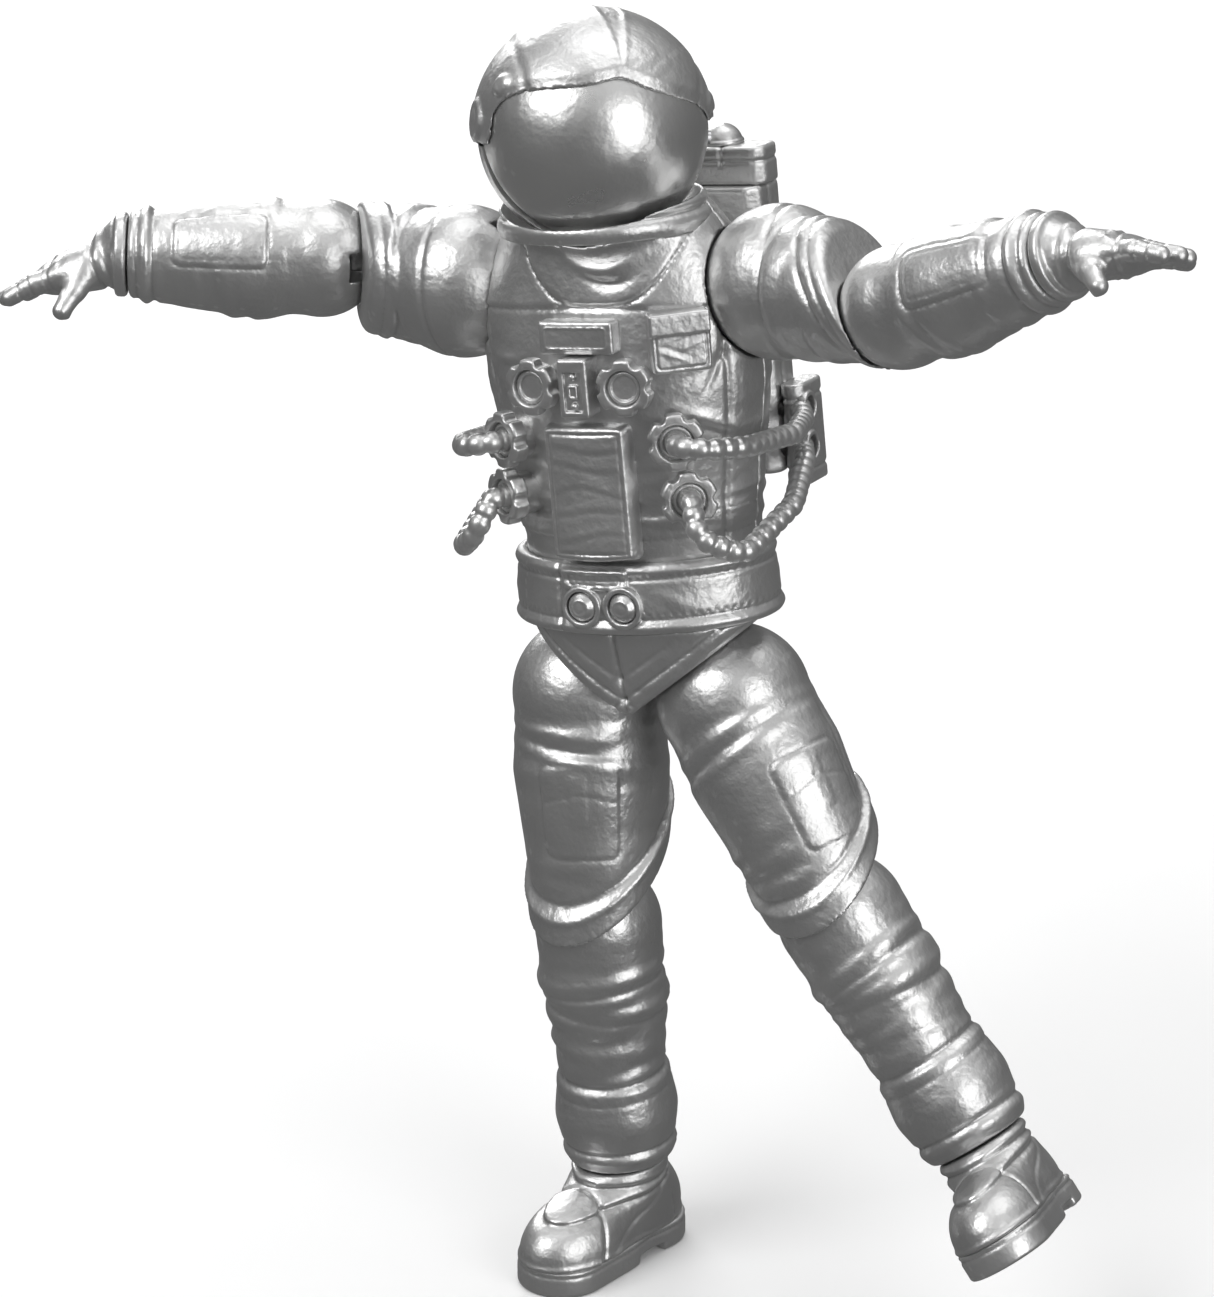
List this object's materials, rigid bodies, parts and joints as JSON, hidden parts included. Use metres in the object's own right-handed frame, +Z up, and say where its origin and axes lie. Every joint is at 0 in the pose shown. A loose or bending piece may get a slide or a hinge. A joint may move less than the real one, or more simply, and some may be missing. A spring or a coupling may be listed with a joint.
{
  "type": "jointed astronaut action figure",
  "caption": "Silver jointed astronaut figure in a pressure suit, arms spread and one leg stepping out, with helmet, lifting visor, life-support pack and hoses.",
  "frame": {"origin": "on the face of the right boot's sole, under the instep, on the surface that the figure stands on", "axes": "+Z up, the figure faces -Y, and +X is its own left"},
  "size_m": [0.1542, 0.0526, 0.1572],
  "materials": {
    "suit_silver": "satin metallic silver paint with a fine orange peel",
    "visor_silver": "smoother, brighter metallic silver paint",
    "hose_silver": "satin metallic silver paint",
    "sole_silver": "satin metallic silver paint",
    "peg_plastic": "bare grey moulded plastic",
    "steel": "plain steel"
  },
  "bodies": {
    "torso": {"torso_front": "suit_silver", "torso_back": "suit_silver", "torso_screws": "steel", "collar_ring": "suit_silver", "name_plate": "suit_silver", "chest_pocket": "suit_silver", "control_box": "suit_silver", "abdominal_panel": "suit_silver", "upper_connectors": "suit_silver", "middle_connectors": "suit_silver", "lower_connectors": "suit_silver", "belt": "suit_silver", "belt_studs": "suit_silver", "pack_case": "suit_silver", "pack_cover": "suit_silver", "pack_lower_boxes": "suit_silver", "pack_top_box": "suit_silver", "pack_dome": "suit_silver", "right_upper_hose": "hose_silver", "right_lower_hose": "hose_silver", "left_upper_hose": "hose_silver", "left_lower_hose": "hose_silver"},
    "neck": {"neck_post": "peg_plastic"},
    "head": {"helmet_shell": "suit_silver", "helmet_core": "peg_plastic", "ear_pins": "steel"},
    "visor": {"visor": "visor_silver"},
    "pelvis": {"pelvis": "suit_silver", "waist_peg": "peg_plastic"},
    "right_shoulder": {"right_shoulder_peg": "peg_plastic"},
    "right_arm": {"right_upper_arm": "suit_silver", "right_shoulder_pin": "steel"},
    "right_lower_arm": {"right_forearm": "suit_silver", "right_elbow_pin": "steel"},
    "right_glove": {"right_hand": "suit_silver", "right_wrist_peg": "peg_plastic"},
    "right_hip": {"right_hip_peg": "peg_plastic"},
    "right_upper_leg": {"right_thigh": "suit_silver", "right_hip_pin": "steel"},
    "right_lower_leg": {"right_shin": "suit_silver", "right_knee_pin": "steel"},
    "right_foot": {"right_boot": "suit_silver", "right_sole": "sole_silver", "right_ankle_peg": "peg_plastic"},
    "left_shoulder": {"left_shoulder_peg": "peg_plastic"},
    "left_arm": {"left_upper_arm": "suit_silver", "left_shoulder_pin": "steel"},
    "left_lower_arm": {"left_forearm": "suit_silver", "left_elbow_pin": "steel"},
    "left_glove": {"left_hand": "suit_silver", "left_wrist_peg": "peg_plastic"},
    "left_hip": {"left_hip_peg": "peg_plastic"},
    "left_upper_leg": {"left_thigh": "suit_silver", "left_hip_pin": "steel"},
    "left_lower_leg": {"left_shin": "suit_silver", "left_knee_pin": "steel"},
    "left_foot": {"left_boot": "suit_silver", "left_sole": "sole_silver", "left_ankle_peg": "peg_plastic"}
  },
  "joints": [
    {"name": "waist_swivel", "type": "hinge", "parent": "torso", "child": "pelvis", "pos_m": [0.00305, 0.00728, 0.08647], "axis": [-0.1322, 0.0966, 0.9865], "range_deg": [-25, 25]},
    {"name": "neck_swivel", "type": "hinge", "parent": "torso", "child": "neck", "pos_m": [-0.00481, 0.00881, 0.14305], "axis": [-0.1322, 0.0966, 0.9865], "range_deg": [-60, 60]},
    {"name": "head_nod", "type": "hinge", "parent": "neck", "child": "head", "pos_m": [-0.00481, 0.00881, 0.14305], "axis": [0.8305, 0.5393, -0.1392], "range_deg": [-12, 9]},
    {"name": "visor_lift", "type": "hinge", "parent": "head", "child": "visor", "pos_m": [-0.00481, 0.00881, 0.14305], "axis": [-0.8305, -0.5393, 0.1392], "range_deg": [0, 60]},
    {"name": "right_shoulder_swivel", "type": "hinge", "parent": "torso", "child": "right_shoulder", "pos_m": [-0.02272, 0.0124, 0.12104], "axis": [-0.9879, 0.0691, -0.1392], "range_deg": [-90, 90]},
    {"name": "right_shoulder_raise", "type": "hinge", "parent": "right_shoulder", "child": "right_arm", "pos_m": [-0.02272, 0.0124, 0.12104], "axis": [0.0816, 0.9929, -0.0863], "range_deg": [-38, 38]},
    {"name": "right_elbow_bend", "type": "hinge", "parent": "right_arm", "child": "right_lower_arm", "pos_m": [-0.0431, 0.01594, 0.12041], "axis": [-0.0147, 0.0908, 0.9958], "range_deg": [-28, 44]},
    {"name": "right_wrist_swivel", "type": "hinge", "parent": "right_lower_arm", "child": "right_glove", "pos_m": [-0.06493, 0.00725, 0.12088], "axis": [-0.929, -0.3696, 0.02], "range_deg": [-70, 70]},
    {"name": "right_hip_swivel", "type": "hinge", "parent": "pelvis", "child": "right_hip", "pos_m": [-0.00497, 0.00784, 0.07239], "axis": [-0.4683, 0.0327, -0.8829], "range_deg": [-30, 30]},
    {"name": "right_hip_spread", "type": "hinge", "parent": "right_hip", "child": "right_upper_leg", "pos_m": [-0.00497, 0.00784, 0.07239], "axis": [-0.286, -0.9511, 0.1164], "range_deg": [-30, 3]},
    {"name": "right_knee_bend", "type": "hinge", "parent": "right_upper_leg", "child": "right_lower_leg", "pos_m": [-0.00206, 0.00347, 0.04386], "axis": [0.9509, -0.2987, 0.0804], "range_deg": [-4, 68]},
    {"name": "right_ankle_swivel", "type": "hinge", "parent": "right_lower_leg", "child": "right_foot", "pos_m": [0.00079, 0.00411, 0.0125], "axis": [0.0905, 0.0201, -0.9957], "range_deg": [-25, 25]},
    {"name": "left_shoulder_swivel", "type": "hinge", "parent": "torso", "child": "left_shoulder", "pos_m": [0.01877, 0.0095, 0.12688], "axis": [0.9879, -0.0691, 0.1392], "range_deg": [-90, 90]},
    {"name": "left_shoulder_raise", "type": "hinge", "parent": "left_shoulder", "child": "left_arm", "pos_m": [0.01877, 0.0095, 0.12688], "axis": [-0.0816, -0.9929, 0.0863], "range_deg": [-38, 38]},
    {"name": "left_elbow_bend", "type": "hinge", "parent": "left_arm", "child": "left_lower_arm", "pos_m": [0.03679, -0.00044, 0.12916], "axis": [-0.475, -0.7589, 0.4455], "range_deg": [-20, 50]},
    {"name": "left_wrist_swivel", "type": "hinge", "parent": "left_lower_arm", "child": "left_glove", "pos_m": [0.05688, -0.00698, 0.13944], "axis": [0.8551, -0.2784, 0.4375], "range_deg": [-70, 70]},
    {"name": "left_hip_swivel", "type": "hinge", "parent": "pelvis", "child": "left_hip", "pos_m": [0.01424, 0.0065, 0.07475], "axis": [0.6675, -0.0467, -0.7431], "range_deg": [-30, 30]},
    {"name": "left_hip_spread", "type": "hinge", "parent": "left_hip", "child": "left_upper_leg", "pos_m": [0.01424, 0.0065, 0.07475], "axis": [-0.5714, 0.6078, -0.5514], "range_deg": [-15, 22]},
    {"name": "left_knee_bend", "type": "hinge", "parent": "left_upper_leg", "child": "left_lower_leg", "pos_m": [0.03039, 0.00051, 0.05142], "axis": [0.7937, 0.1564, 0.5879], "range_deg": [-4, 68]},
    {"name": "left_ankle_swivel", "type": "hinge", "parent": "left_lower_leg", "child": "left_foot", "pos_m": [0.04945, -0.00272, 0.02655], "axis": [0.605, -0.1025, -0.7896], "range_deg": [-25, 25]}
  ]
}
